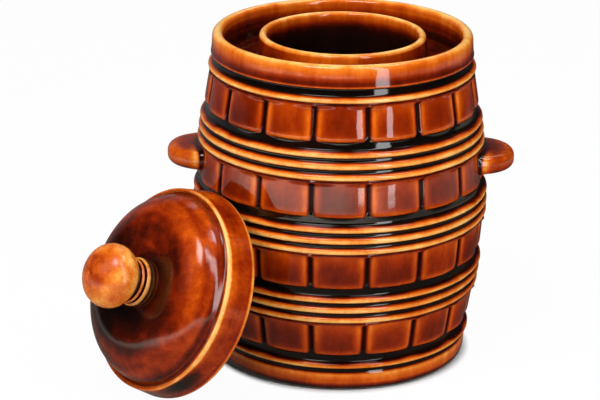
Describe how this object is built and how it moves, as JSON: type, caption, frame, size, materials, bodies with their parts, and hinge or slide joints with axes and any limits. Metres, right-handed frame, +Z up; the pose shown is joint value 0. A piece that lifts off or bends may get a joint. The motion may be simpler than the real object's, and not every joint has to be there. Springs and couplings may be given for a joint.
{
  "type": "water seal pickle jar",
  "caption": "Barrel-shaped fermentation crock with a water gutter round its neck, a domed lid leaning beside it and weighting stones inside.",
  "frame": {"origin": "centre of the crock's flat foot, on the surface it stands on", "axes": "+Z up along the crock's axis, -Y to the front, +X to the viewer's right; the lugs lie along X"},
  "size_m": [0.3135, 0.2702, 0.248],
  "materials": {
    "brown_glaze": "glossy translucent honey-brown glaze, amber on the edges and near black in the grooves",
    "raw_stoneware": "unglazed pale stoneware, matt"
  },
  "bodies": {
    "crock": {"crock": "brown_glaze", "lug_handle_left": "brown_glaze", "lug_handle_right": "brown_glaze"},
    "lid": {"lid": "brown_glaze", "lid_knob": "brown_glaze"},
    "stone_left": {"weight_stone_left": "raw_stoneware"},
    "stone_right": {"weight_stone_right": "raw_stoneware"}
  },
  "joints": [
    {"name": "lid_lift", "type": "slide", "parent": "crock", "child": "lid", "axis": [-0.7239, -0.5514, 0.4147], "range_m": [0, 0.2]},
    {"name": "stone_left_lift", "type": "slide", "parent": "crock", "child": "stone_left", "axis": [0, 0, 1], "range_m": [0, 0.15]},
    {"name": "stone_right_lift", "type": "slide", "parent": "crock", "child": "stone_right", "axis": [0, 0, 1], "range_m": [0, 0.15]}
  ]
}
